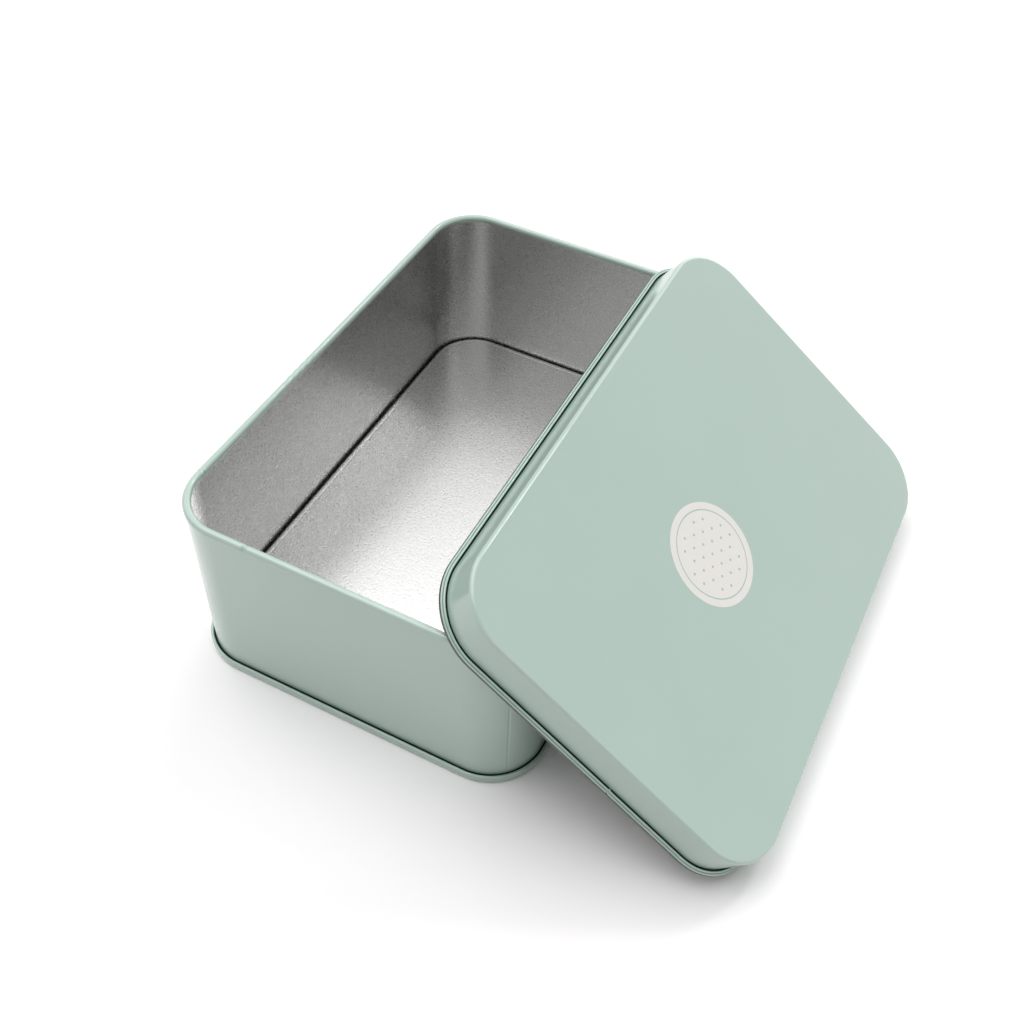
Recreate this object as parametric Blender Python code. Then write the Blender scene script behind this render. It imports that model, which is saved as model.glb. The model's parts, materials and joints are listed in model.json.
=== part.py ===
"""A rectangular slip-lid biscuit tin, with its lid taken off and leaning on the open tin.

The tin is three pressings of thin tinplate. The wall is one strip bent round four corners and closed by a
side seam: its top edge is curled inward into a bead, and its bottom edge is turned out and up into a hook.
The base has a panel raised clear of the ground, and its edge is folded round that hook, which makes the
double seam that the tin stands on. The lid is drawn from one sheet, and the bottom of its skirt is turned
up, out over a narrow ledge and under in a roll.

Each pressing is drawn as the middle line of its bent sheet, seen in section, and that section is swept round
the tin's outline. Lengths are in metres. Z is up and the ground is at Z = 0. The tin's long sides run along
Y. The lid leans over the +X side: its lower long edge stands on the ground, and the corners of its upper
edge rest on the rims of the tin's two short sides.
"""

import math

import bmesh
import bpy
from mathutils import Matrix, Vector

# The tin, over the outer faces of its wall, and from the ground to the top of its rim
TIN_LENGTH = 0.200
TIN_WIDTH = 0.134
TIN_HEIGHT = 0.075
CORNER_RADIUS = 0.020

# The sheet, and the room left between two folds of it and between pieces that touch
SHEET = 0.00025
FOLD_GAP = 0.0003
REST_GAP = 0.0003

# The bead curled inward along the top of the wall, which stands a little proud of the wall's outer face
RIM_RADIUS = 0.0015
RIM_PROUD = 0.0005
RIM_CURL_DEGREES = 285.0
RIM_STEP_HEIGHT = 0.0010

# The side seam, a shallow groove down the middle of the near right corner, faded at its ends
SEAM_GROOVE_WIDTH = 0.0010
SEAM_GROOVE_DEPTH = 0.00012
SEAM_GROOVE_FADE = 0.0015

# The double seam at the foot, and the base's raised panel inside it
SEAM_HEIGHT = 0.0036
FOOT_BEND = 0.0005
PANEL_HEIGHT = 0.0080
PANEL_BEND = 0.0011

# The lid
LID_CLEARANCE = 0.0008
LID_HEIGHT = 0.0155
LID_SHOULDER = 0.0024

# The bead along the skirt's lower edge: the sheet is tucked up behind a ledge, goes down into a valley, and
# ends in a roll. The gap is the tuck's room beside the skirt, and the depth is counted from the ledge's middle
LID_BEAD_HEIGHT = 0.00195
LID_TUCK_GAP = 0.00042
LID_TUCK_DEPTH = 0.0007
LID_LEDGE_RADIUS = 0.0004
LID_VALLEY_RADIUS = 0.0002
LID_VALLEY_DEGREES = 120.0
LID_ROLL_RADIUS = 0.00042
LID_ROLL_END = 0.0001

# Where the lid leans: how far out from the tin's side its lower edge stands on the ground, and its turn
LID_STAND_OFF = 0.0767
LID_TURN_DEGREES = 0.6

# How finely round stretches are divided
CORNER_STEPS = 8
BEAD_STEP_DEGREES = 22.5
BEND_STEP_DEGREES = 30.0
SHARP_DEGREES = 40.0

# How the lid's lean is found: the range searched, and how closely the tin's outline is felt for contact
LEAN_DEGREES = (15.0, 70.0)
CONTACT_CORNER_STEPS = 24
CONTACT_SIDE_STEPS = 80
CONTACT_WALL_SHARES = (0.25, 0.5, 0.75, 0.9)

MINT_PAINT = (0.47, 0.60, 0.53, 1.0)
BARE_TINPLATE = (0.55, 0.55, 0.54, 1.0)


class BentSheet:
    """The middle line of a bent sheet in section, drawn by running straight and bending.

    A place is (out, up): out is measured outward from the outline that the section is swept round, and up
    is the height. A heading of 0 degrees points outward and one of 90 points up.
    """

    def __init__(self, out, up, heading):
        self.out = out
        self.up = up
        self.heading = heading
        self.marks = [(out, up, heading)]

    def run(self, length):
        angle = math.radians(self.heading)
        self.out += length * math.cos(angle)
        self.up += length * math.sin(angle)
        self.marks.append((self.out, self.up, self.heading))

    def bend(self, radius, degrees, step=BEND_STEP_DEGREES):
        """Turns left for positive degrees and right for negative ones, round an arc of the middle line."""
        side = math.copysign(1.0, degrees)
        angle = math.radians(self.heading)
        centre_out = self.out - side * radius * math.sin(angle)
        centre_up = self.up + side * radius * math.cos(angle)
        count = max(2, math.ceil(abs(degrees) / step))
        start = self.heading
        for i in range(1, count + 1):
            self.heading = start + degrees * i / count
            angle = math.radians(self.heading)
            self.out = centre_out + side * radius * math.sin(angle)
            self.up = centre_up - side * radius * math.cos(angle)
            self.marks.append((self.out, self.up, self.heading))

    def middle(self):
        return [(out, up) for out, up, _ in self.marks]

    def face(self, side):
        """One face of the sheet: 1 for the face on the left of the heading, and -1 for the other."""
        points = []
        for out, up, heading in self.marks:
            angle = math.radians(heading)
            across = side * SHEET / 2
            points.append((out - math.sin(angle) * across, up + math.cos(angle) * across))
        return points

    def outline(self):
        """Both faces as one line, from the start of the left face round the far edge and back."""
        return self.face(1) + self.face(-1)[::-1]


def rounded_outline(width, length, radius, steps=CORNER_STEPS):
    """Places round a rounded rectangle, each as (x, y, outward x, outward y), anticlockwise from above."""
    places = []
    for quarter, (side_x, side_y) in enumerate(((1, -1), (1, 1), (-1, 1), (-1, -1))):
        centre_x = side_x * (width / 2 - radius)
        centre_y = side_y * (length / 2 - radius)
        for i in range(steps + 1):
            angle = math.radians(90 * (quarter - 1 + i / steps))
            out_x = math.cos(angle)
            out_y = math.sin(angle)
            places.append((centre_x + radius * out_x, centre_y + radius * out_y, out_x, out_y))
    return places


def add_side_seam(places):
    """The tin's outline with a place on each side of its near right corner's middle, where the seam's groove
    is, and how deep the groove is at each place."""
    middle = CORNER_STEPS // 2
    x, y, out_x, out_y = places[middle]
    lips = []
    for side in (-1, 1):
        turn = Matrix.Rotation(side * SEAM_GROOVE_WIDTH / 2 / CORNER_RADIUS, 2)
        out = turn @ Vector((out_x, out_y))
        shift = CORNER_RADIUS * (out - Vector((out_x, out_y)))
        lips.append((x + shift.x, y + shift.y, out.x, out.y))
    seamed = places[:middle] + [lips[0], places[middle], lips[1]] + places[middle + 1 :]
    depths = [0.0] * len(seamed)
    depths[middle + 1] = SEAM_GROOVE_DEPTH
    return seamed, depths


def sweep(name, section, places, closed, groove=None):
    """Sweeps a section round an outline. An open section's two ends are closed by flat panels.

    groove is (depths, low, high): how far each place's section is pressed in between those two heights.
    """
    depths, low, high = groove if groove else ([0.0] * len(places), 0.0, 0.0)
    mesh_builder = bmesh.new()
    rings = []
    for (x, y, out_x, out_y), depth in zip(places, depths):
        ring = []
        for out, up in section:
            reach = out - depth if low < up < high else out
            ring.append(mesh_builder.verts.new((x + out_x * reach, y + out_y * reach, up)))
        rings.append(ring)
    count = len(section)
    for ring, following in zip(rings, rings[1:] + rings[:1]):
        for j in range(count if closed else count - 1):
            k = (j + 1) % count
            mesh_builder.faces.new((ring[j], ring[k], following[k], following[j]))
    if not closed:
        mesh_builder.faces.new([ring[0] for ring in rings])
        mesh_builder.faces.new([ring[-1] for ring in rings])
    bmesh.ops.recalc_face_normals(mesh_builder, faces=mesh_builder.faces)
    mesh = bpy.data.meshes.new(name)
    mesh_builder.to_mesh(mesh)
    mesh_builder.free()
    mesh.shade_smooth()
    mesh.set_sharp_from_angle(angle=math.radians(SHARP_DEGREES))
    piece = bpy.data.objects.new(name, mesh)
    bpy.context.scene.collection.objects.link(piece)
    return piece


def finish_material(name, colour, metallic, roughness):
    material = bpy.data.materials.new(name)
    material.use_nodes = True
    shader = material.node_tree.nodes["Principled BSDF"]
    shader.inputs["Base Color"].default_value = colour
    shader.inputs["Metallic"].default_value = metallic
    shader.inputs["Roughness"].default_value = roughness
    material.diffuse_color = colour
    return material


# The layers of the foot's seam, counted by their middle lines from the wall's outer face
BODY_HOOK_OUT = 2 * FOLD_GAP + 3 * SHEET / 2
SEAM_FACE_OUT = 3 * FOLD_GAP + 5 * SHEET / 2
CHUCK_WALL_OUT = -FOLD_GAP - 3 * SHEET / 2
HOOK_BEND = FOLD_GAP + SHEET
HOOK_CREST = SEAM_HEIGHT - HOOK_BEND - SHEET / 2

# The middle line's radius in the roll of the lid's bead
LID_ROLL_BEND = LID_ROLL_RADIUS - SHEET / 2


def wall_sheet():
    """From the hook's free edge, down and round its bend, up the wall and round the rim's inward curl."""
    bend_height = SHEET + FOLD_GAP + SHEET / 2 + HOOK_BEND
    hook_edge = HOOK_CREST - FOLD_GAP / 2
    sheet = BentSheet(BODY_HOOK_OUT, hook_edge, -90)
    sheet.run(hook_edge - bend_height)
    sheet.bend(HOOK_BEND, -180)
    rim_centre = TIN_HEIGHT - RIM_RADIUS
    sheet.run(SEAM_HEIGHT + SEAM_GROOVE_FADE - bend_height)
    step_start = rim_centre - RIM_STEP_HEIGHT - RIM_RADIUS / 2
    sheet.run(step_start - SEAM_GROOVE_FADE - sheet.up)
    sheet.run(SEAM_GROOVE_FADE)
    # Two equal and opposite bends carry the sheet out by RIM_PROUD over RIM_STEP_HEIGHT
    step_angle = 2 * math.atan2(RIM_PROUD, RIM_STEP_HEIGHT)
    step_bend = RIM_STEP_HEIGHT / 2 / math.sin(step_angle)
    sheet.bend(step_bend, -math.degrees(step_angle))
    sheet.bend(step_bend, math.degrees(step_angle))
    sheet.run(rim_centre - sheet.up)
    sheet.bend(RIM_RADIUS - SHEET / 2, RIM_CURL_DEGREES, BEAD_STEP_DEGREES)
    return sheet


def base_sheet():
    """From the raised panel's edge, down the chuck wall, round the foot and up, then in and down."""
    panel_line = PANEL_HEIGHT - SHEET / 2
    sheet = BentSheet(CHUCK_WALL_OUT - PANEL_BEND, panel_line, 0)
    sheet.bend(PANEL_BEND, -90)
    sheet.run(sheet.up - FOOT_BEND - SHEET / 2)
    sheet.bend(FOOT_BEND, 90)
    sheet.run(SEAM_FACE_OUT - CHUCK_WALL_OUT - 2 * FOOT_BEND)
    sheet.bend(FOOT_BEND, 90)
    sheet.run(HOOK_CREST - sheet.up)
    sheet.bend(HOOK_BEND, 180)
    hook_edge = 2 * SHEET + 2 * FOLD_GAP
    sheet.run(sheet.up - hook_edge)
    return sheet


def lid_sheet():
    """From the flat face's edge, over the shoulder, down the skirt, up out of the tuck, over the ledge, and
    down and under round the roll.

    The lid's own frame has its face at height 0 and its skirt's outer face on its outline.
    """
    ledge_middle = LID_BEAD_HEIGHT - LID_HEIGHT - LID_LEDGE_RADIUS
    sheet = BentSheet(-LID_SHOULDER, -SHEET / 2, 0)
    sheet.bend(LID_SHOULDER - SHEET / 2, -90)
    sheet.run(sheet.up - ledge_middle + LID_TUCK_DEPTH)
    sheet.bend((LID_TUCK_GAP + SHEET) / 2, 180)
    sheet.run(ledge_middle - sheet.up)
    sheet.bend(LID_LEDGE_RADIUS - SHEET / 2, -180)
    sheet.run(LID_VALLEY_RADIUS * 3 / 4)
    sheet.bend(LID_VALLEY_RADIUS, LID_VALLEY_DEGREES)
    sheet.bend(LID_ROLL_BEND, -LID_VALLEY_DEGREES)
    sheet.run(sheet.up + LID_HEIGHT - LID_ROLL_RADIUS)
    sheet.bend(LID_ROLL_BEND, -180)
    sheet.run(LID_ROLL_END)
    return sheet


# The lid's outline goes over the rim's bead with its clearance
LID_GROWTH = RIM_PROUD + LID_CLEARANCE + SHEET
LID_WIDTH = TIN_WIDTH + 2 * LID_GROWTH
LID_LENGTH = TIN_LENGTH + 2 * LID_GROWTH
LID_CORNER = CORNER_RADIUS + LID_GROWTH


def outline_distance(x, y, width, length, radius):
    """How far a place lies outside a rounded rectangle, negative inside it."""
    past_x = abs(x) - (width / 2 - radius)
    past_y = abs(y) - (length / 2 - radius)
    outside = math.hypot(max(past_x, 0.0), max(past_y, 0.0))
    return outside + min(max(past_x, past_y), 0.0) - radius


def distance_to_line(place, line):
    best = math.inf
    for (x1, y1), (x2, y2) in zip(line, line[1:]):
        span_x = x2 - x1
        span_y = y2 - y1
        along = ((place[0] - x1) * span_x + (place[1] - y1) * span_y) / (span_x**2 + span_y**2)
        along = min(max(along, 0.0), 1.0)
        best = min(best, math.hypot(place[0] - x1 - along * span_x, place[1] - y1 - along * span_y))
    return best


def lid_placement(lid_line, along, lean):
    """The lid's matrix for its centre's Y and its lean in radians, with its bead's roll on the ground."""
    turn = Matrix.Rotation(math.radians(LID_TURN_DEGREES), 4, "Z")
    rotation = turn @ Matrix.Rotation(lean, 4, "Y")
    roll_out = max(out for out, up in lid_line) - LID_ROLL_BEND
    lowest = rotation @ Vector((LID_WIDTH / 2 + roll_out, 0.0, LID_ROLL_RADIUS - LID_HEIGHT))
    out = TIN_WIDTH / 2 + LID_STAND_OFF - lowest.x
    return Matrix.Translation((out, along, LID_ROLL_RADIUS - lowest.z)) @ rotation


def lid_clearance(placement, lid_line, tin_places):
    """The least room between the leaning lid and the tin, whose places are (point, half thickness)."""
    into_lid = placement.inverted()
    least = math.inf
    for point, thickness in tin_places:
        local = into_lid @ point
        out = outline_distance(local.x, local.y, LID_WIDTH, LID_LENGTH, LID_CORNER)
        least = min(least, distance_to_line((out, local.z), lid_line) - SHEET / 2 - thickness)
    return least


def tin_contact_places():
    """Points along the rim's bead and the crest of the foot's seam, and on the wall between them."""
    rows = [(RIM_PROUD - RIM_RADIUS, TIN_HEIGHT - RIM_RADIUS, RIM_RADIUS)]
    rows.append((BODY_HOOK_OUT, HOOK_CREST, HOOK_BEND + SHEET / 2))
    for share in CONTACT_WALL_SHARES:
        rows.append((-SHEET / 2, TIN_HEIGHT * share, SHEET / 2))
    places = []
    for x, y, out_x, out_y in dense_tin_outline():
        for out, up, thickness in rows:
            places.append((Vector((x + out_x * out, y + out_y * out, up)), thickness))
    return places


def dense_tin_outline():
    """The right half of the tin's outline, where the lid leans, with places close together."""
    corners = rounded_outline(TIN_WIDTH, TIN_LENGTH, CORNER_RADIUS, CONTACT_CORNER_STEPS)
    places = []
    for here, following in zip(corners, corners[1:] + corners[:1]):
        same_way = math.hypot(here[2] - following[2], here[3] - following[3]) < 1e-6
        count = CONTACT_SIDE_STEPS if same_way else 1
        for i in range(count):
            places.append(tuple(a + (b - a) * i / count for a, b in zip(here, following)))
    return [place for place in places if place[0] > 0.0]


def halved(low, high, holds, rounds):
    """Halves a range again and again towards the value below which holds is true."""
    for _ in range(rounds):
        middle = (low + high) / 2
        if holds(middle):
            low = middle
        else:
            high = middle
    return (low + high) / 2


def leaning_lid_matrix(lid_line):
    """Lowers the lid until REST_GAP is left, and slides it along Y until both its upper corners rest."""
    face_line = [(-max(LID_WIDTH, LID_LENGTH), lid_line[0][1])] + lid_line
    near_places = [place for place in tin_contact_places() if place[0].y < 0]
    far_places = [place for place in tin_contact_places() if place[0].y >= 0]

    def room(along, lean, places):
        return lid_clearance(lid_placement(lid_line, along, lean), face_line, places)

    def resting_lean(along):
        return halved(
            math.radians(LEAN_DEGREES[0]),
            math.radians(LEAN_DEGREES[1]),
            lambda lean: room(along, lean, near_places + far_places) < REST_GAP,
            16,
        )

    def near_corner_is_higher(along):
        lean = resting_lean(along)
        return room(along, lean, near_places) > room(along, lean, far_places)

    along = halved(-CORNER_RADIUS / 4, CORNER_RADIUS / 4, near_corner_is_higher, 9)
    return lid_placement(lid_line, along, resting_lean(along))


def build_tin(paint, bare):
    places, depths = add_side_seam(rounded_outline(TIN_WIDTH, TIN_LENGTH, CORNER_RADIUS))
    groove_low = SEAM_HEIGHT + SEAM_GROOVE_FADE / 2
    groove_high = TIN_HEIGHT - 3 * RIM_RADIUS / 2 - RIM_STEP_HEIGHT - SEAM_GROOVE_FADE / 2
    wall = sweep("tin_wall", wall_sheet().outline(), places, True, (depths, groove_low, groove_high))
    wall.data.materials.append(paint)
    base = sweep("tin_base", base_sheet().outline(), places, False)
    base.data.materials.append(bare)
    return wall, base


def build_lid(paint):
    sheet = lid_sheet()
    places = rounded_outline(LID_WIDTH, LID_LENGTH, LID_CORNER)
    lid = sweep("lid", sheet.outline(), places, False)
    lid.data.materials.append(paint)
    lid.matrix_world = leaning_lid_matrix(sheet.middle())
    return lid


def centre_on_origin(pieces):
    """Hangs the pieces on an empty, so that the whole object's box is centred over the origin."""
    bpy.context.view_layer.update()
    corners = [piece.matrix_world @ vertex.co for piece in pieces for vertex in piece.data.vertices]
    middle_x = (min(c.x for c in corners) + max(c.x for c in corners)) / 2
    middle_y = (min(c.y for c in corners) + max(c.y for c in corners)) / 2
    reference = bpy.data.objects.new("biscuit_tin_reference", None)
    bpy.context.scene.collection.objects.link(reference)
    for piece in pieces:
        piece.parent = reference
    reference.location = (-middle_x, -middle_y, 0.0)
    bpy.context.view_layer.update()


def main():
    for old in list(bpy.data.objects):
        bpy.data.objects.remove(old, do_unlink=True)
    paint = finish_material("mint_paint", MINT_PAINT, 0.0, 0.4)
    bare = finish_material("bare_tinplate", BARE_TINPLATE, 1.0, 0.35)
    wall, base = build_tin(paint, bare)
    lid = build_lid(paint)
    centre_on_origin([wall, base, lid])


main()
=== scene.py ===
"""A mint enamelled biscuit tin with its slip lid leaning on it, dressed for a studio picture.

The file is laid out as an add-on and run as a script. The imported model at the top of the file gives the
sizes and the places. Each pressing is drawn here again as the middle line of its bent sheet, more finely
than in the model, and swept round its outline, so that paint, bare metal, seams, nicks and wrinkles can
follow the sheet. Lengths are in metres. The tin's own frame has its origin on the ground under the middle
of the tin, with its long sides along Y. The lid's own frame has its origin in the middle of its face, with
its skirt below.
"""

import json
import math
from collections import namedtuple

import bmesh
import bpy
from bpy.props import FloatProperty, FloatVectorProperty, PointerProperty
from bpy.types import Operator, Panel, PropertyGroup
from mathutils import Matrix, Vector


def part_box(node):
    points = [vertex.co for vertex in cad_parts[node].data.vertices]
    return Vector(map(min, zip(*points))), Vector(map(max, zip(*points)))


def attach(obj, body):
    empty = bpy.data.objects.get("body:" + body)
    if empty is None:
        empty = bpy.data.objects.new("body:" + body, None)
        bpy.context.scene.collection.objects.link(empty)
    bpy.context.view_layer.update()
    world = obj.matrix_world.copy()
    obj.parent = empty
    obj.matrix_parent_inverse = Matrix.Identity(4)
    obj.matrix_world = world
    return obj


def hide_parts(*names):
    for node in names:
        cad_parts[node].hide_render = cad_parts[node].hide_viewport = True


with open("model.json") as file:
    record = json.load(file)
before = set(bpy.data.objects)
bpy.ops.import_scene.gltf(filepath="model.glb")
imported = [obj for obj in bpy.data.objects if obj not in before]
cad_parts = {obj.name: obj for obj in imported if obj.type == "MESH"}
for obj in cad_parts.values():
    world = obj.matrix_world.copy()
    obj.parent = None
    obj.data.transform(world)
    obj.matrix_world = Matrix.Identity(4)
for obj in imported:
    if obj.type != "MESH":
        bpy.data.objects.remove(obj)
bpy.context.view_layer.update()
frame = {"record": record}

bl_info = {
    "name": "Biscuit tin",
    "version": (1, 0, 0),
    "blender": (4, 5, 0),
    "location": "View3D > Sidebar > Biscuit tin",
    "description": "Builds a mint enamelled biscuit tin, its leaning slip lid and a pale studio",
    "category": "Object",
}

# How finely the sheet and the outlines are divided, and how far from its ends a straight stretch has marks
BEND_STEP_DEGREES = 12.0
CORNER_STEPS = 18
SIDE_STEP = 0.005
SUPPORT = 0.0005

# An edge at which the surface turns further than this looks sharp
SHARP_DEGREES = 38.0

# How finely the print and the floor are divided, and how close two points of the print are made one
PRINT_EDGE_STEPS = 120
PRICKED_HOLE_STEPS = 20
FLOOR_SQUARES = 8
MERGE_DISTANCE = 1e-6

# The faces of a sheet, by the side of its heading that they are on
LEFT = 1
RIGHT = -1

# The rings across a flat panel, as shares of its outline's size
PANEL_RINGS = (0.985, 0.94, 0.85, 0.7, 0.5, 0.25)

# The side seam's groove keeps this far above the foot's seam and this far below the rim's step, and further
# than the last of these lengths from either it has its full depth
GROOVE_ABOVE_SEAM = 0.001
GROOVE_BELOW_STEP = 0.002
GROOVE_FULL = 0.003

# How wide a flat edge of the panel is drawn with the base's bends and how far along it a fine line is
# pressed, both in radii of the panel's bend, and then that line's own radius and its turns in degrees
PANEL_EDGE = 4
PRESSED_LINE = 2.6
PRESSED_LINE_BEND = 0.0004
PRESSED_LINE_TURNS = (-20, 40, -20)

# How wide a flat edge is drawn with the lid's shoulder
FACE_EDGE = 0.002

# The last degrees of a bend, where its finish isn't that of the rest of it
LAST_TURN = 30

# Small marks of making, each placed by how far its middle is along its side
Ripples = namedtuple("Ripples", "middle reach pitch depth")
Dent = namedtuple("Dent", "middle reach depth")

# Wrinkles in the rim's bead on the left side and a nick in it on the near side
RIM_RIPPLES = (Ripples(-0.0174, 0.0165, 0.0042, 0.00016), Ripples(-0.0785, 0.0036, 0.0017, 0.00022))
RIM_NICK = Dent(-0.0331, 0.0010, 0.00040)

# The joint across the lid's bead on the near side, and how far it leans along the side for its height
LID_JOINT = Dent(0.0134, 0.00038, 0.00050)
LID_JOINT_LEAN = 0.3

# Each lamp's azimuth, its elevation and how wide it looks from the tin, in degrees
LAMPS = {
    "key": (270.0, 58.0, 60.0),
    "top": (205.0, 80.0, 60.0),
    "back": (180.0, 24.0, 50.0),
    "right": (90.0, 24.0, 50.0),
    "glint": (164.0, 50.0, 9.0),
}

# The width in millimetres of the sensor that the lens is given for
SENSOR_WIDTH = 36.0

# The finishes on a pressing, as places in its list of materials
ENAMEL = 0
TINPLATE = 1
# The third finish is bare metal made near-black, partly painted shade on the roll's underside
BARE_EDGE_SHADE = 2
# The fourth finish is painted shade: near-black enamel laid in folds and crevices to darken them
CREVICE_SHADE = 3

# Where a Mix node has its two colours among its inputs and the blended colour among its outputs
MIX_FIRST = 6
MIX_SECOND = 7
MIX_RESULT = 2


def mount_point(name):
    """A mount's place and axis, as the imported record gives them."""
    for mount in frame["record"]["mounts"]:
        if mount["name"] == name:
            return Vector(mount["pos_m"]), Vector(mount["axis"])
    raise ValueError(f"the record has no mount named {name}")


def length(name, default, description):
    return FloatProperty(
        name=name, default=default, description=description, min=0.0, precision=5, unit="LENGTH"
    )


def number(name, default, description):
    return FloatProperty(name=name, default=default, description=description, precision=3)


def angle(name, degrees, description):
    return FloatProperty(name=name, default=math.radians(degrees), description=description, subtype="ANGLE")


def colour(name, default, description):
    return FloatVectorProperty(
        name=name, default=default, description=description, size=3, min=0.0, max=1.0, subtype="COLOR"
    )


class TinSizes(PropertyGroup):
    """What a tinsmith would set on the two pressings of the tin."""

    sheet: length("Sheet", 0.00025, "Thickness of the tinplate")
    fold_gap: length("Fold gap", 0.0002, "Room between two folds of the sheet inside the foot's seam")
    seam_mouth: length("Seam mouth", 0.0006, "Room between the wall and the foot's seam along the seam's top")
    seam_reach: length("Seam reach", 0.00165, "How far the packed model's foot seam stands out from its wall")
    corner_radius: length("Corner radius", 0.020, "Radius of the tin's corners seen from above")
    rim_radius: length("Rim radius", 0.0015, "Outer radius of the bead curled along the top of the wall")
    rim_proud: length("Rim proud", 0.0005, "How far the rim's bead stands out from the wall")
    rim_step: length("Rim step", 0.0010, "Height over which the wall steps out to the rim's bead")
    rim_curl: angle("Rim curl", 285.0, "How far the sheet is curled round in the rim's bead")
    seam_height: length("Foot seam height", 0.0036, "Height of the double seam at the foot")
    foot_bend: length("Foot bend", 0.0005, "Radius of the sheet's middle at the foot of the chuck wall")
    foot_round: length("Foot round", 0.0009, "Radius of the sheet's middle below the seam's outer face")
    panel_bend: length("Panel bend", 0.0011, "Radius of the sheet's middle round the raised panel's edge")
    chuck_lean: angle("Chuck wall lean", 4.0, "How far the raised panel's wall leans in towards its top")
    side_seam_width: length("Side seam width", 0.0011, "Width of the groove down the wall's side seam")
    side_seam_depth: length("Side seam depth", 0.00012, "Depth of the groove down the wall's side seam")


class LidSizes(PropertyGroup):
    """What a tinsmith would set on the lid."""

    height: length("Height", 0.0155, "From the lid's face to the bottom of its bead")
    clearance: length("Clearance", 0.0008, "Room between the rim's bead and the lid's skirt")
    shoulder: length("Shoulder", 0.0013, "Outer radius between the face and the skirt")
    bead_height: length("Bead height", 0.00195, "Height of the bead along the skirt's lower edge")
    tuck_gap: length("Tuck gap", 0.0006, "Room between the skirt and the bead's inner fold")
    tuck_depth: length("Tuck depth", 0.0010, "How deep the sheet is tucked below the bead's ledge")
    ledge_radius: length("Ledge radius", 0.00036, "Outer radius of the ledge along the top of the bead")
    ledge_drop: length("Ledge drop", 0.0003, "Straight stretch from the ledge down to the valley")
    valley_radius: length("Valley radius", 0.00016, "Radius of the sheet's middle from ledge to roll")
    valley_turn: angle("Valley turn", 150.0, "How far the sheet turns in the valley, and back in the roll")
    roll_radius: length("Roll radius", 0.0004, "Outer radius of the roll below the ledge")


class PrintSizes(PropertyGroup):
    """The plain biscuit printed on the lid."""

    diameter: length("Diameter", 0.038, "Diameter of the printed biscuit")
    ring_inset: length("Ring inset", 0.0026, "From the biscuit's edge to the thin ring left unprinted")
    ring_width: length("Ring width", 0.0005, "Width of the thin ring left unprinted")
    hole: length("Pricked hole", 0.0011, "Diameter of each pricked hole, left unprinted")
    spacing: length("Hole spacing", 0.0048, "Distance between neighbouring holes")
    ink: length("Ink", 0.00004, "How far the ink stands up from the paint")
    towards_near_edge: length("Offset", 0.0128, "From the face's middle towards its near edge")


class FinishColours(PropertyGroup):
    """The colours of the finishes."""

    mint: colour("Mint enamel", (0.468, 0.609, 0.540), "Enamel outside the tin and the lid")
    tinplate: colour("Tinplate", (0.56, 0.56, 0.555), "Bare metal inside the wall and the lid")
    # A darker copy of the tinplate colour: painted shade that dims the lamps' reflection in the tin's floor
    base_tinplate: colour("Shaded base tinplate", (0.472, 0.472, 0.468), "Bare metal of the base")
    # Near-black bare metal: real unpainted edge, darkened as painted shade for the roll's shaded underside
    edge: colour("Bare edge and shade", (0.12, 0.125, 0.12), "Unpainted metal along the lid's rolled edge")
    # Painted shade: the near-black colour laid in the folds to darken them
    grime: colour("Crevice shade", (0.022, 0.040, 0.032), "Painted shade laid in the folds of the sheet")
    ink: colour("Ink", (0.87, 0.85, 0.81), "Off-white ink of the print")
    floor: colour("Floor", (1.0, 0.976, 0.985), "Faintly warm white of the floor")


class StudioSettings(PropertyGroup):
    """Camera, light and floor."""

    azimuth: angle("Azimuth", 25.808, "Where the camera stands round the tin, from its near short side")
    elevation: angle("Elevation", 48.025, "How high the camera looks down from")
    roll: angle("Roll", 2.159, "How far the camera is turned about its own line of sight")
    distance: length("Distance", 0.51015, "From the camera to the point on the ground that it looks at")
    lens: number("Lens", 43.486, "Focal length in millimetres on a sensor 36 mm wide")
    look_right: length("Look right", 0.00596, "From under the tin's middle to the point looked at, across")
    look_back: length("Look back", 0.01603, "From under the tin's middle to the point looked at, backward")
    surround: number("Surround", 0.20, "How strongly the white surround lights the pieces")
    key: number("Key light", 1.22, "Strength of the broad light from the left")
    top: number("Top light", 0.93, "Strength of the broad light overhead")
    back: number("Back light", 0.85, "Strength of the low, broad light behind the tin")
    right: number("Right light", 0.32, "Strength of the low, broad light on the lid's side")
    glint: number("Glint light", 0.32, "Strength of the small light that draws the bright lines on the beads")
    floor_paleness: number("Floor paleness", 0.92, "Share of the light that the floor throws back")
    floor_shown: number("Floor shown", 1.15, "The same share for the camera, so that open floor is white")
    floor_size: length("Floor size", 8.0, "Length of the floor's side")


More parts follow.
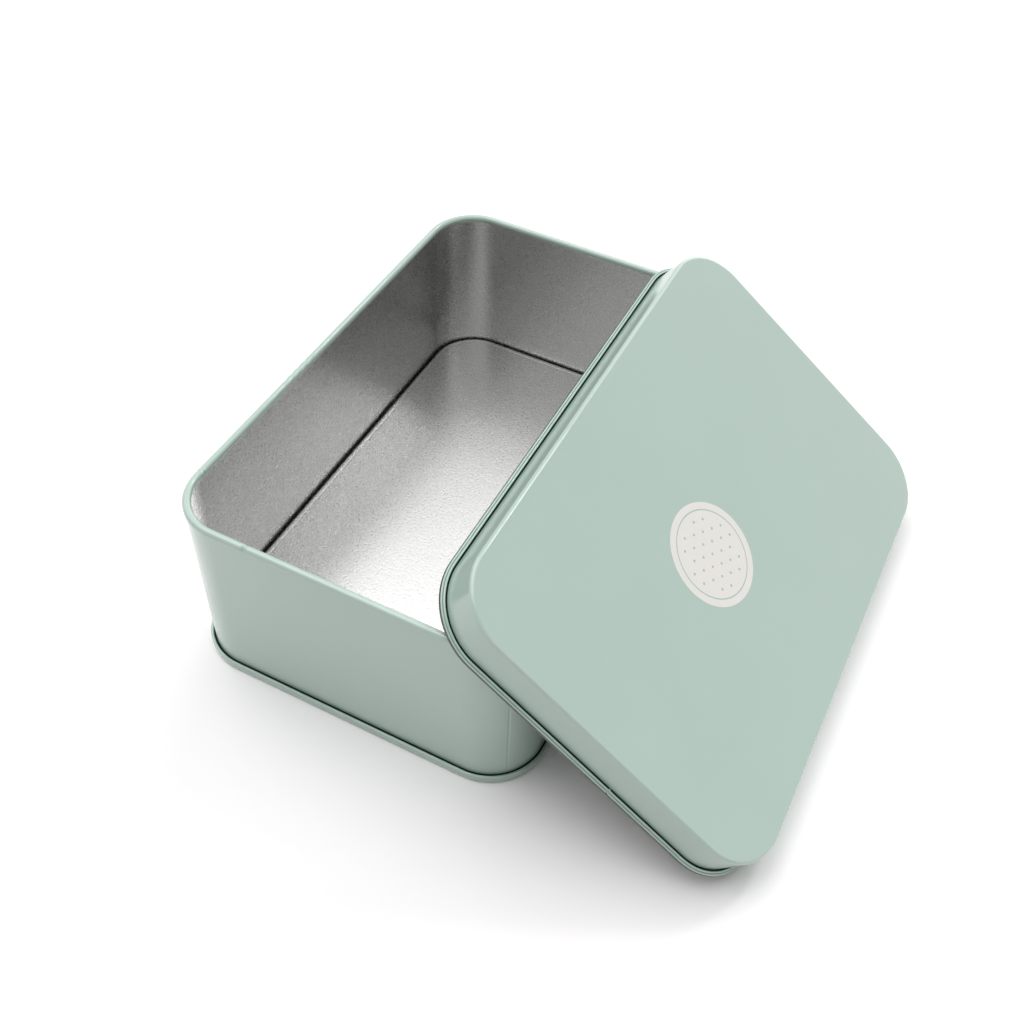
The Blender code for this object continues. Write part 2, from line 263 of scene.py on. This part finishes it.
class BentSheet:
    """The middle line of a bent sheet in section, drawn by running straight and bending.

    A place is (out, up): out is measured outward from the outline that the section is swept round, and up is
    the height. A heading of 0 degrees points outward and one of 90 points up.
    """

    def __init__(self, thickness, out, up, heading):
        self.thickness = thickness
        self.out = out
        self.up = up
        self.heading = heading
        self.marks = [(out, up, heading)]
        self.cover = ENAMEL
        self.covers = []

    def run(self, distance):
        """Runs straight, with a mark close to each end so that the stretch between stays flat when shaded."""
        direction = math.radians(self.heading)
        stops = [SUPPORT, distance - SUPPORT, distance] if distance > 3 * SUPPORT else [distance]
        start_out = self.out
        start_up = self.up
        for stop in stops:
            self.out = start_out + stop * math.cos(direction)
            self.up = start_up + stop * math.sin(direction)
            self.mark()

    def bend(self, radius, degrees):
        """Turns left for positive degrees and right for negative ones, round an arc of the middle line."""
        side = math.copysign(1.0, degrees)
        direction = math.radians(self.heading)
        centre_out = self.out - side * radius * math.sin(direction)
        centre_up = self.up + side * radius * math.cos(direction)
        count = max(2, math.ceil(abs(degrees) / BEND_STEP_DEGREES))
        start = self.heading
        for i in range(1, count + 1):
            self.heading = start + degrees * i / count
            direction = math.radians(self.heading)
            self.out = centre_out + side * radius * math.sin(direction)
            self.up = centre_up - side * radius * math.cos(direction)
            self.mark()

    def mark(self):
        """Ends a stretch here, with the present cover on the sheet's painted face."""
        self.marks.append((self.out, self.up, self.heading))
        self.covers.append(self.cover)

    def face(self, side):
        """The points of one face of the sheet."""
        points = []
        for out, up, heading in self.marks:
            direction = math.radians(heading)
            across = side * self.thickness / 2
            points.append((out - math.sin(direction) * across, up + math.cos(direction) * across))
        return points

    def outline(self):
        """Both faces as one line, from the start of the left face round the far edge and back."""
        return self.face(LEFT) + self.face(RIGHT)[::-1]

    def finishes(self, side):
        """For each stretch of the outline its finish, with the covers on the given side of the sheet."""
        bare = [TINPLATE] * len(self.covers)
        if side == LEFT:
            return self.covers + [BARE_EDGE_SHADE] + bare + [BARE_EDGE_SHADE]
        return bare + [BARE_EDGE_SHADE] + self.covers[::-1] + [BARE_EDGE_SHADE]


class Place:
    """A place on a rounded rectangle, with the way outward and how far it is from the middle of its side."""

    def __init__(self, x, y, out_x, out_y, side, along):
        self.x = x
        self.y = y
        self.out_x = out_x
        self.out_y = out_y
        self.side = side
        self.along = along

    def away_from(self, side, along):
        """Distance along a side from a given place on it. Places on other sides are endlessly far."""
        return self.along - along if self.side == side else math.inf


def stops_along(half, step, spots):
    """Stops from one end of a side to the other, with finer ones round each spot (middle, reach, step)."""
    count = math.ceil(2 * half / step)
    stops = [-half + 2 * half * i / count for i in range(count + 1)]
    for middle, reach, fine_step in spots:
        stops = [stop for stop in stops if abs(stop - middle) > reach]
        fine = math.ceil(2 * reach / fine_step)
        stops += [middle - reach + 2 * reach * i / fine for i in range(fine + 1)]
    return sorted(stop for stop in stops if -half <= stop <= half)


def rounded_outline(width, depth, radius, spots=()):
    """Places round a rounded rectangle, anticlockwise from above, from the near right corner.

    Each spot is (side, middle, reach, step), a stretch of a side or of a corner that gets finer places.
    """

    def spots_on(name):
        return [spot[1:] for spot in spots if spot[0] == name]

    places = []
    corners = (
        (1, -1, "near_right", "right"),
        (1, 1, "far_right", "far"),
        (-1, 1, "far_left", "left"),
        (-1, -1, "near_left", "near"),
    )
    for quarter, (side_x, side_y, corner, side) in enumerate(corners):
        centre_x = side_x * (width / 2 - radius)
        centre_y = side_y * (depth / 2 - radius)
        half = math.pi * radius / 4
        middle = math.pi / 2 * (quarter - 0.5)
        for along in stops_along(half, 2 * half / CORNER_STEPS, spots_on(corner)):
            turn = middle + along / radius
            out_x = math.cos(turn)
            out_y = math.sin(turn)
            x = centre_x + radius * out_x
            y = centre_y + radius * out_y
            places.append(Place(x, y, out_x, out_y, corner, along))
        half = (depth if side in ("right", "left") else width) / 2 - radius - SUPPORT
        stops = stops_along(half, SIDE_STEP, spots_on(side))
        for stop in stops if side in ("right", "near") else stops[::-1]:
            x = stop if side in ("near", "far") else side_x * width / 2
            y = stop if side in ("left", "right") else side_y * depth / 2
            places.append(Place(x, y, round(out_x), round(out_y), side, stop))
    return places


def swell(distance, reach):
    """1 at no distance, falling smoothly to 0 at the reach."""
    share = min(abs(distance) / reach, 1.0)
    return (1 - share * share) ** 2


def ripple(distance, reach, pitch):
    """A wave from -1 to 1 that dies away at the reach."""
    if abs(distance) >= reach:
        return 0.0
    return swell(distance, reach) * math.sin(2 * math.pi * distance / pitch)


def sweep(name, sheet, places, painted_side, materials, shape=None, panel=False):
    """Sweeps a sheet's section round an outline, and returns the object.

    shape(place, out, up) moves a point of the section at a place. With a panel, the sheet's start is carried
    on flat to the middle.
    """
    section = sheet.outline()
    finishes = sheet.finishes(painted_side)
    count = len(section)
    builder = bmesh.new()
    rings = []
    for place in places:
        ring = []
        for out, up in section:
            if shape:
                out, up = shape(place, out, up)
            ring.append(builder.verts.new((place.x + place.out_x * out, place.y + place.out_y * out, up)))
        rings.append(ring)
    for ring, following in zip(rings, rings[1:] + rings[:1]):
        for j in range(count - 1 if panel else count):
            k = (j + 1) % count
            face = builder.faces.new((ring[j], ring[k], following[k], following[j]))
            face.material_index = finishes[j]
    if panel:
        for index, side in ((0, LEFT), (count - 1, RIGHT)):
            finish = ENAMEL if side == painted_side else TINPLATE
            lay_panel(builder, [ring[index] for ring in rings], finish)
    bmesh.ops.recalc_face_normals(builder, faces=builder.faces)
    mesh = bpy.data.meshes.new(name)
    builder.to_mesh(mesh)
    builder.free()
    return finish_piece(name, mesh, materials)


def lay_panel(builder, edge, finish):
    """Closes a flat loop with rings drawn in towards its middle and a fan round the middle."""
    middle = sum((vertex.co for vertex in edge), Vector()) / len(edge)
    middle.x = 0.0
    middle.y = 0.0
    outer = edge
    for share in PANEL_RINGS:
        inner = [builder.verts.new(middle + (vertex.co - middle) * share) for vertex in edge]
        for i, vertex in enumerate(outer):
            k = (i + 1) % len(outer)
            face = builder.faces.new((vertex, outer[k], inner[k], inner[i]))
            face.material_index = finish
        outer = inner
    centre = builder.verts.new(middle)
    for i, vertex in enumerate(outer):
        face = builder.faces.new((vertex, outer[(i + 1) % len(outer)], centre))
        face.material_index = finish


def finish_piece(name, mesh, materials):
    """An object for the mesh, with its materials, smooth except along its sharp edges."""
    for material in materials:
        mesh.materials.append(material)
    mesh.shade_smooth()
    mesh.set_sharp_from_angle(angle=math.radians(SHARP_DEGREES))
    piece = bpy.data.objects.new(name, mesh)
    bpy.context.scene.collection.objects.link(piece)
    return piece


class Value:
    """A number or colour on its way through a material, so that sums on it read as plain maths."""

    def __init__(self, tree, socket):
        self.tree = tree
        self.socket = socket

    def output(self, name):
        """Another output of the same node."""
        return Value(self.tree, self.socket.node.outputs[name])

    def maths(self, operation, first, second):
        return self.tree.node("ShaderNodeMath", {"operation": operation}, {0: first, 1: second})

    def __add__(self, other):
        return self.maths("ADD", self, other)

    def __radd__(self, other):
        return self.maths("ADD", other, self)

    def __mul__(self, other):
        return self.maths("MULTIPLY", self, other)

    def __rmul__(self, other):
        return self.maths("MULTIPLY", other, self)

    def at_most(self, limit):
        return self.maths("MINIMUM", self, limit)


class NodeTree:
    """A material's or the world's nodes."""

    def __init__(self, owner):
        owner.use_nodes = True
        self.nodes = owner.node_tree.nodes
        self.links = owner.node_tree.links
        self.nodes.clear()

    def node(self, kind, settings=None, sockets=None):
        """Adds a node, with its settings first and then its sockets' values or links.

        Gives the node's first output, or nothing where it has none.
        """
        made = self.nodes.new(kind)
        for name, value in (settings or {}).items():
            setattr(made, name, value)
        for name, value in (sockets or {}).items():
            if isinstance(value, Value):
                self.links.new(value.socket, made.inputs[name])
            else:
                made.inputs[name].default_value = value
        return Value(self, made.outputs[0]) if made.outputs else None

    def place(self):
        """The place on the piece, in the piece's own frame."""
        return self.node("ShaderNodeTexCoord").output("Object")

    def noise(self, place, per_metre, detail=2.0, roughness=0.5):
        """Cloudy noise from 0 to 1, with about that many clouds to the metre."""
        sockets = {"Vector": place, "Scale": per_metre, "Detail": detail, "Roughness": roughness}
        return self.node("ShaderNodeTexNoise", None, sockets)

    def blend(self, share, first, second):
        """From the first colour at a share of 0 to the second at 1."""
        settings = {"data_type": "RGBA", "clamp_factor": True}
        mix = self.node("ShaderNodeMix", settings, {0: share, MIX_FIRST: first, MIX_SECOND: second})
        return Value(self, mix.socket.node.outputs[MIX_RESULT])

    def shades(self, share, tint, least, most):
        """The tint at the least of itself where the share is 0, up to the most of itself where it is 1."""
        return self.blend(share, opaque(tint, least), opaque(tint, most))

    def bump(self, height, strength, distance):
        """A fine relief, as the normal that it gives the surface."""
        sockets = {"Strength": strength, "Distance": distance, "Height": height}
        return self.node("ShaderNodeBump", None, sockets)

    def principled(self, sockets):
        """Ends a material with a Principled surface."""
        surface = self.node("ShaderNodeBsdfPrincipled", None, sockets)
        self.node("ShaderNodeOutputMaterial", None, {"Surface": surface})


def opaque(shade, share=1.0):
    """A colour as four numbers, at a share of itself."""
    return (shade[0] * share, shade[1] * share, shade[2] * share, 1.0)


def mint_enamel(tree, colours):
    """Satin enamel: soft clouding and a fine orange peel."""
    place = tree.place()
    clouds = tree.noise(place, per_metre=22.0)
    peel = tree.noise(place, per_metre=850.0, detail=3.0)
    tree.principled(
        {
            "Base Color": tree.shades(clouds, colours.mint, 0.97, 1.03),
            "Roughness": 0.30 + clouds * 0.05,
            "IOR": 1.3,
            "Coat Weight": 0.8,
            "Coat Roughness": 0.10,
            "Coat IOR": 1.7,
            "Normal": tree.bump(peel, strength=0.10, distance=0.00004),
        }
    )


def bare_tinplate(tree, colours):
    """Rolled tinplate of the wall and the lid."""
    roll_tinplate(tree, colours.tinplate)


def base_tinplate(tree, colours):
    """Rolled tinplate of the base in a darker copy of the tinplate's colour: painted shade that tones down
    the lamps' reflection in the tin's floor.
    """
    roll_tinplate(tree, colours.base_tinplate)


def roll_tinplate(tree, tint):
    """Matt rolled metal with a fine leathery grain."""
    place = tree.place()
    clouds = tree.noise(place, per_metre=30.0)
    grain = tree.noise(place, per_metre=1100.0, detail=3.0, roughness=0.6)
    fleck = tree.noise(place, per_metre=2300.0, detail=1.0)
    tree.principled(
        {
            "Base Color": tree.shades(clouds * 0.3 + grain * 0.7, tint, 0.88, 1.12),
            "Metallic": 1.0,
            "Roughness": 0.22 + grain * 0.12,
            "Normal": tree.bump(grain * 0.7 + fleck * 0.3, strength=0.7, distance=0.00014),
        }
    )


def printed_ink(tree, colours):
    """Off-white ink, matter than the enamel, with a faint mottle."""
    mottle = tree.noise(tree.place(), per_metre=700.0, detail=3.0)
    tree.principled(
        {
            "Base Color": tree.shades(mottle, colours.ink, 0.97, 1.02),
            "Roughness": 0.42 + mottle * 0.06,
            "Normal": tree.bump(mottle, strength=0.15, distance=0.00003),
        }
    )


def dulled_edge(tree, colours):
    """Unpainted sheet along the cut and rolled edges, its metal made near-black: bare metal with painted
    shade for the roll's outer side and underside.
    """
    clouds = tree.noise(tree.place(), per_metre=160.0, detail=3.0)
    shade = tree.shades(clouds, colours.edge, 0.85, 1.2)
    tree.principled({"Base Color": shade, "Metallic": 1.0, "Roughness": 0.38 + clouds * 0.15})


def crevice_grime(tree, colours):
    """Dark, matt enamel laid in the folds: painted shade that darkens the creases."""
    clouds = tree.noise(tree.place(), per_metre=240.0, detail=3.0)
    shade = tree.shades(clouds, colours.grime, 0.7, 1.5)
    tree.principled({"Base Color": shade, "Roughness": 0.6 + clouds * 0.1})


def finish_from(build):
    """The material that the function builds, made on first use and named like it."""
    material = bpy.data.materials.get(build.__name__)
    if material is None:
        material = bpy.data.materials.new(build.__name__)
        build(NodeTree(material), bpy.context.scene.biscuit_tin_colours)
    return material


def sheet_finishes(bare=bare_tinplate):
    """The finishes of a pressing, in the order of their places."""
    return [finish_from(build) for build in (mint_enamel, bare, dulled_edge, crevice_grime)]


class TinPlan:
    """Where things are on the tin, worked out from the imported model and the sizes."""

    def __init__(self, sizes):
        low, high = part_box("tin_base")
        wall_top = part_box("tin_wall")[1].z
        self.width = high.x - low.x - 2 * sizes.seam_reach
        self.length = high.y - low.y - 2 * sizes.seam_reach
        self.middle = Vector(((low.x + high.x) / 2, (low.y + high.y) / 2, 0.0))
        self.panel_height = high.z
        self.hook_bend = sizes.fold_gap + sizes.sheet
        self.hook_crest = sizes.seam_height - self.hook_bend - sizes.sheet / 2
        self.body_hook_out = sizes.seam_mouth + sizes.sheet / 2 + self.hook_bend
        self.body_bend = (self.body_hook_out + sizes.sheet / 2) / 2
        self.seam_face_out = self.body_hook_out + self.hook_bend
        self.chuck_wall_out = -sizes.fold_gap - 1.5 * sizes.sheet
        self.rim_centre = wall_top - sizes.rim_radius
        self.step_start = self.rim_centre - sizes.rim_step - sizes.rim_radius / 2
        self.groove_low = sizes.seam_height + GROOVE_ABOVE_SEAM
        self.groove_high = self.step_start - GROOVE_BELOW_STEP

    def outline(self, sizes, spots=()):
        return rounded_outline(self.width, self.length, sizes.corner_radius, spots)


def wall_section(sizes, plan):
    """From the hook's free edge, down and round its bend, up the wall and round the rim's inward curl."""
    bend_height = 1.5 * sizes.sheet + sizes.fold_gap + plan.body_bend
    hook_edge = plan.hook_crest - sizes.fold_gap / 2
    section = BentSheet(sizes.sheet, plan.body_hook_out, hook_edge, -90)
    # The hook inside the foot's seam is laid with painted shade
    section.cover = CREVICE_SHADE
    section.run(hook_edge - bend_height)
    section.bend(plan.body_bend, -180)
    section.run(plan.hook_crest + sizes.sheet - section.up)
    section.cover = ENAMEL
    # Marks stand where the side seam's groove starts, where it has its full depth and where it is over
    groove_marks = (
        plan.groove_low,
        sizes.seam_height + GROOVE_FULL,
        plan.step_start - GROOVE_FULL,
        plan.step_start,
    )
    for height in groove_marks:
        section.run(height - section.up)
    # Two equal and opposite bends carry the sheet out to the rim's bead
    step_turn = 2 * math.atan2(sizes.rim_proud, sizes.rim_step)
    step_bend = sizes.rim_step / 2 / math.sin(step_turn)
    section.bend(step_bend, -math.degrees(step_turn))
    section.bend(step_bend, math.degrees(step_turn))
    section.run(plan.rim_centre - section.up)
    section.bend(sizes.rim_radius - sizes.sheet / 2, math.degrees(sizes.rim_curl))
    return section


def base_section(sizes, plan):
    """From the raised panel over its edge, down the chuck wall, round the foot and up, then in and down."""
    lean = math.degrees(sizes.chuck_lean)
    panel_line = plan.panel_height - sizes.sheet / 2
    # Each bend turns the sheet through a right angle less the lean, and takes this share of its radius
    share = 1 - math.sin(sizes.chuck_lean)
    chuck_drop = panel_line - sizes.sheet / 2 - share * (sizes.panel_bend + sizes.foot_bend)
    start = plan.chuck_wall_out - chuck_drop * math.tan(sizes.chuck_lean) - sizes.panel_bend
    section = BentSheet(sizes.sheet, start - PANEL_EDGE * sizes.panel_bend, panel_line, 0)
    section.run(PRESSED_LINE * sizes.panel_bend)
    for degrees in PRESSED_LINE_TURNS:
        section.bend(PRESSED_LINE_BEND, degrees)
    section.run(start - section.out)
    section.bend(sizes.panel_bend, lean - 90)
    section.run(chuck_drop / math.cos(sizes.chuck_lean))
    section.bend(sizes.foot_bend, 90 - lean)
    section.run(plan.seam_face_out - sizes.foot_round - section.out)
    section.bend(sizes.foot_round, 90)
    section.run(plan.hook_crest - section.up)
    section.bend(plan.hook_bend, 180 - LAST_TURN)
    # Painted shade from the end of the seam's top bend down into the seam, darkening its mouth
    section.cover = CREVICE_SHADE
    section.bend(plan.hook_bend, LAST_TURN)
    section.run(section.up - 2 * sizes.sheet - 2 * sizes.fold_gap)
    return section


def lid_section(sheet, lid):
    """From the flat face, over the shoulder, down the skirt, up out of the tuck, over and round the bead."""
    tuck_bend = (lid.tuck_gap + sheet) / 2
    ledge_bend = lid.ledge_radius - sheet / 2
    roll_bend = lid.roll_radius - sheet / 2
    ledge_centre = lid.bead_height - lid.height - lid.ledge_radius
    valley_turn = math.degrees(lid.valley_turn)
    section = BentSheet(sheet, -lid.shoulder - FACE_EDGE, -sheet / 2, 0)
    section.run(FACE_EDGE)
    section.bend(lid.shoulder - sheet / 2, -90)
    section.run(section.up - ledge_centre - lid.ledge_radius / 2)
    # Painted shade on the skirt's lowest stretch, round the tuck and back up, darkening the crevice above the
    # bead
    section.cover = CREVICE_SHADE
    section.run(section.up - ledge_centre + lid.tuck_depth)
    section.bend(tuck_bend, 180)
    section.run(ledge_centre - section.up)
    section.cover = ENAMEL
    section.bend(ledge_bend, -180)
    section.run(lid.ledge_drop)
    # Painted shade in the valley between the ledge and the roll, up to its last turn
    section.cover = CREVICE_SHADE
    section.bend(lid.valley_radius, valley_turn - LAST_TURN)
    section.cover = ENAMEL
    section.bend(lid.valley_radius, LAST_TURN)
    section.bend(roll_bend, LAST_TURN - valley_turn)
    # The roll's outside and underside are bare metal in the near-black edge colour, partly painted shade
    section.cover = BARE_EDGE_SHADE
    section.bend(roll_bend, -LAST_TURN)
    section.run(section.up + lid.height - lid.roll_radius)
    section.bend(roll_bend, -180)
    section.run(lid.roll_radius / 2)
    return section


def build_wall(context):
    """The wall, with its side seam and the small wrinkles and nick that curling left in the rim's bead."""
    sizes = context.scene.biscuit_tin_sizes
    plan = TinPlan(sizes)
    # Places are close together round each mark of making, with several across it
    spots = [
        ("near_right", 0.0, 2 * sizes.side_seam_width, sizes.side_seam_width / 8),
        ("near", RIM_NICK.middle, 2 * RIM_NICK.reach, RIM_NICK.reach / 5),
    ]
    spots += [("left", ripples.middle, ripples.reach, ripples.pitch / 7) for ripples in RIM_RIPPLES]
    bead_low = plan.rim_centre - sizes.rim_radius

    def press(place, out, up):
        if plan.groove_low < up < plan.groove_high:
            from_seam = place.away_from("near_right", 0.0)
            out -= sizes.side_seam_depth * swell(from_seam, sizes.side_seam_width / 2)
        if up > bead_low:
            for ripples in RIM_RIPPLES:
                along = place.away_from("left", ripples.middle)
                out += ripples.depth * ripple(along, ripples.reach, ripples.pitch)
            dent = swell(place.away_from("near", RIM_NICK.middle), RIM_NICK.reach)
            if up > plan.rim_centre:
                up -= RIM_NICK.depth * dent
                if out > -sizes.rim_radius:
                    out -= RIM_NICK.depth * dent
        return out, up

    section = wall_section(sizes, plan)
    places = plan.outline(sizes, spots)
    wall = sweep("enamelled_wall", section, places, RIGHT, sheet_finishes(), press)
    wall.location = plan.middle
    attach(wall, "tin")
    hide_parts("tin_wall")


def build_base(context):
    """The base pressing, whose edge wraps the wall's hook in the double seam."""
    sizes = context.scene.biscuit_tin_sizes
    plan = TinPlan(sizes)
    finishes = sheet_finishes(base_tinplate)
    section = base_section(sizes, plan)
    base = sweep("seamed_base", section, plan.outline(sizes), RIGHT, finishes, panel=True)
    base.location = plan.middle
    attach(base, "tin")
    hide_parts("tin_base")


def lid_matrix():
    """The leaning lid's place: the middle of its face, its lean over the tin's side and its slight turn."""
    middle, normal = mount_point("lid_face")
    lean = math.acos(normal.normalized().z)
    turn = math.atan2(normal.y, normal.x)
    return Matrix.Translation(middle) @ Matrix.Rotation(turn, 4, "Z") @ Matrix.Rotation(lean, 4, "Y")


def build_lid(context):
    """The lid, with the joint that shows across its bead."""
    sizes = context.scene.biscuit_tin_sizes
    lid = context.scene.biscuit_lid_sizes
    plan = TinPlan(sizes)
    growth = sizes.rim_proud + lid.clearance + sizes.sheet
    width = plan.width + 2 * growth
    depth = plan.length + 2 * growth
    spots = (("near", LID_JOINT.middle, 4 * LID_JOINT.reach, LID_JOINT.reach / 5),)
    places = rounded_outline(width, depth, sizes.corner_radius + growth, spots)
    bead_top = -(lid.height - lid.bead_height)

    def press(place, out, up):
        if up <= bead_top and out > lid.tuck_gap:
            middle = LID_JOINT.middle + (up - bead_top) * LID_JOINT_LEAN
            out -= LID_JOINT.depth * swell(place.away_from("near", middle), LID_JOINT.reach)
        return out, up

    section = lid_section(sizes.sheet, lid)
    piece = sweep("enamelled_lid", section, places, LEFT, sheet_finishes(), press, panel=True)
    piece.matrix_world = lid_matrix()
    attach(piece, "lid")
    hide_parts("lid")


def circle(radius, steps, x=0.0, y=0.0):
    return [
        (x + radius * math.cos(2 * math.pi * i / steps), y + radius * math.sin(2 * math.pi * i / steps))
        for i in range(steps)
    ]


def biscuit_outlines(sizes):
    """A plain round biscuit: its edge, a thin ring just inside, and holes pricked in staggered rows."""
    radius = sizes.diameter / 2
    ring = radius - sizes.ring_inset
    ring_inside = ring - sizes.ring_width
    outlines = [circle(edge, PRINT_EDGE_STEPS) for edge in (radius, ring, ring_inside)]
    clear_of_ring = 1.6 * sizes.hole
    reach = ring_inside - clear_of_ring
    rows = math.ceil(reach / sizes.spacing) + 1
    for row in range(-rows, rows + 1):
        y = row * sizes.spacing * math.sqrt(3) / 2
        for column in range(-rows, rows + 1):
            x = (column + 0.5 * (row % 2)) * sizes.spacing
            if math.hypot(x, y) < reach:
                outlines.append(circle(sizes.hole / 2, PRICKED_HOLE_STEPS, x, y))
    return outlines


def build_print(context):
    """The printed biscuit, a film of ink on the lid's face."""
    sizes = context.scene.biscuit_print_sizes
    drawing = bpy.data.curves.new("lid_print_outline", "CURVE")
    drawing.dimensions = "2D"
    drawing.fill_mode = "BOTH"
    drawing.extrude = sizes.ink
    for outline in biscuit_outlines(sizes):
        line = drawing.splines.new("POLY")
        line.points.add(len(outline) - 1)
        for point, (x, y) in zip(line.points, outline):
            point.co = (x, y, 0.0, 1.0)
        line.use_cyclic_u = True
    template = bpy.data.objects.new("lid_print_outline", drawing)
    mesh = bpy.data.meshes.new_from_object(template)
    bpy.data.objects.remove(template)
    bpy.data.curves.remove(drawing)
    mesh.materials.clear()
    mesh.name = "lid_print"
    builder = bmesh.new()
    builder.from_mesh(mesh)
    bmesh.ops.remove_doubles(builder, verts=builder.verts, dist=MERGE_DISTANCE)
    bmesh.ops.recalc_face_normals(builder, faces=builder.faces)
    builder.to_mesh(mesh)
    builder.free()
    piece = finish_piece("lid_print", mesh, [finish_from(printed_ink)])
    piece.matrix_world = lid_matrix() @ Matrix.Translation((0.0, -sizes.towards_near_edge, 0.0))
    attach(piece, "lid")


def build_floor(studio, white):
    """A pale floor that looks white where nothing shades it."""
    builder = bmesh.new()
    half = studio.floor_size / 2
    bmesh.ops.create_grid(builder, x_segments=FLOOR_SQUARES, y_segments=FLOOR_SQUARES, size=half)
    mesh = bpy.data.meshes.new("studio_floor")
    builder.to_mesh(mesh)
    builder.free()
    floor = bpy.data.objects.new("studio_floor", mesh)
    bpy.context.scene.collection.objects.link(floor)
    material = bpy.data.materials.new("pale_floor")
    mesh.materials.append(material)
    tree = NodeTree(material)
    shade = tree.shades(seen_as_background(tree), white, studio.floor_paleness, studio.floor_shown)
    surface = tree.node("ShaderNodeBsdfDiffuse", None, {"Color": shade})
    tree.node("ShaderNodeOutputMaterial", None, {"Surface": surface})


def seen_as_background(tree):
    """1 for the rays that show the background: the camera's own, and those seen in metal or glass."""
    rays = tree.node("ShaderNodeLightPath")
    camera = rays.output("Is Camera Ray")
    glossy = rays.output("Is Glossy Ray")
    passing = rays.output("Is Transmission Ray")
    return (camera + glossy + passing).at_most(1.0)


def build_surround(studio):
    """A white surround all round, seen at full white and lighting the pieces more gently."""
    world = bpy.data.worlds.new("white_surround")
    bpy.context.scene.world = world
    tree = NodeTree(world)
    strength = studio.surround + seen_as_background(tree) * (1.0 - studio.surround)
    white = (1.0, 1.0, 1.0, 1.0)
    background = tree.node("ShaderNodeBackground", None, {"Color": white, "Strength": strength})
    tree.node("ShaderNodeOutputWorld", None, {"Surface": background})


def direction_to(azimuth, elevation):
    """The way to a camera or lamp that stands at that azimuth and elevation."""
    level = math.cos(elevation)
    return Vector((math.sin(azimuth) * level, -math.cos(azimuth) * level, math.sin(elevation)))


def build_light(name, strength, width, azimuth, elevation):
    """A round light as far off as the sky."""
    lamp = bpy.data.lights.new(name, "SUN")
    lamp.energy = strength
    lamp.angle = width
    light = bpy.data.objects.new(name, lamp)
    light.rotation_euler = direction_to(azimuth, elevation).to_track_quat("Z", "Y").to_euler()
    bpy.context.scene.collection.objects.link(light)


def build_camera(studio, middle):
    """The picture's camera."""
    back = direction_to(studio.azimuth, studio.elevation)
    level_right = Vector((0.0, 0.0, 1.0)).cross(back).normalized()
    level_up = back.cross(level_right)
    right = math.cos(studio.roll) * level_right + math.sin(studio.roll) * level_up
    up = back.cross(right)
    target = middle + Vector((studio.look_right, studio.look_back, 0.0))
    lens = bpy.data.cameras.new("picture_camera")
    lens.sensor_width = SENSOR_WIDTH
    lens.lens = studio.lens
    camera = bpy.data.objects.new("picture_camera", lens)
    turn = Matrix((right, up, back)).transposed().to_4x4()
    camera.matrix_world = Matrix.Translation(target + back * studio.distance) @ turn
    bpy.context.scene.collection.objects.link(camera)
    bpy.context.scene.camera = camera


class BuildWall(Operator):
    """Build the tin's wall"""

    bl_idname = "biscuit_tin.build_wall"
    bl_label = "Wall"

    def execute(self, context):
        build_wall(context)
        return {"FINISHED"}


class BuildBase(Operator):
    """Build the tin's base"""

    bl_idname = "biscuit_tin.build_base"
    bl_label = "Base"

    def execute(self, context):
        build_base(context)
        return {"FINISHED"}


class BuildLid(Operator):
    """Build the leaning lid"""

    bl_idname = "biscuit_tin.build_lid"
    bl_label = "Lid"

    def execute(self, context):
        build_lid(context)
        return {"FINISHED"}


class BuildPrint(Operator):
    """Build the biscuit printed on the lid"""

    bl_idname = "biscuit_tin.build_print"
    bl_label = "Print"

    def execute(self, context):
        build_print(context)
        return {"FINISHED"}


class BuildStudio(Operator):
    """Build the floor, the light and the camera"""

    bl_idname = "biscuit_tin.build_studio"
    bl_label = "Studio"

    def execute(self, context):
        studio = context.scene.biscuit_studio
        build_camera(studio, TinPlan(context.scene.biscuit_tin_sizes).middle)
        build_floor(studio, context.scene.biscuit_tin_colours.floor)
        build_surround(studio)
        for name, degrees in LAMPS.items():
            azimuth, elevation, width = (math.radians(value) for value in degrees)
            build_light(f"{name}_light", getattr(studio, name), width, azimuth, elevation)
        context.scene.view_settings.view_transform = "Standard"
        return {"FINISHED"}


STEPS = (BuildWall, BuildBase, BuildLid, BuildPrint, BuildStudio)
SETTINGS = {
    "biscuit_tin_sizes": TinSizes,
    "biscuit_lid_sizes": LidSizes,
    "biscuit_print_sizes": PrintSizes,
    "biscuit_tin_colours": FinishColours,
    "biscuit_studio": StudioSettings,
}


class BiscuitTinPanel(Panel):
    """Lists the pieces in the sidebar, in the order in which they are built"""

    bl_idname = "VIEW3D_PT_biscuit_tin"
    bl_label = "Biscuit tin"
    bl_space_type = "VIEW_3D"
    bl_region_type = "UI"
    bl_category = "Biscuit tin"

    def draw(self, context):
        for step in STEPS:
            self.layout.operator(step.bl_idname)
        for name, group in SETTINGS.items():
            settings = getattr(context.scene, name)
            box = self.layout.box()
            for key in group.__annotations__:
                box.prop(settings, key)


def register():
    for group in SETTINGS.values():
        bpy.utils.register_class(group)
    for name, group in SETTINGS.items():
        setattr(bpy.types.Scene, name, PointerProperty(type=group))
    for step in STEPS:
        bpy.utils.register_class(step)
    bpy.utils.register_class(BiscuitTinPanel)


def unregister():
    bpy.utils.unregister_class(BiscuitTinPanel)
    for step in reversed(STEPS):
        bpy.utils.unregister_class(step)
    for name in SETTINGS:
        delattr(bpy.types.Scene, name)
    for group in SETTINGS.values():
        bpy.utils.unregister_class(group)


def main():
    register()
    for step in STEPS:
        group, name = step.bl_idname.split(".")
        getattr(getattr(bpy.ops, group), name)()


if __name__ == "__main__":
    main()
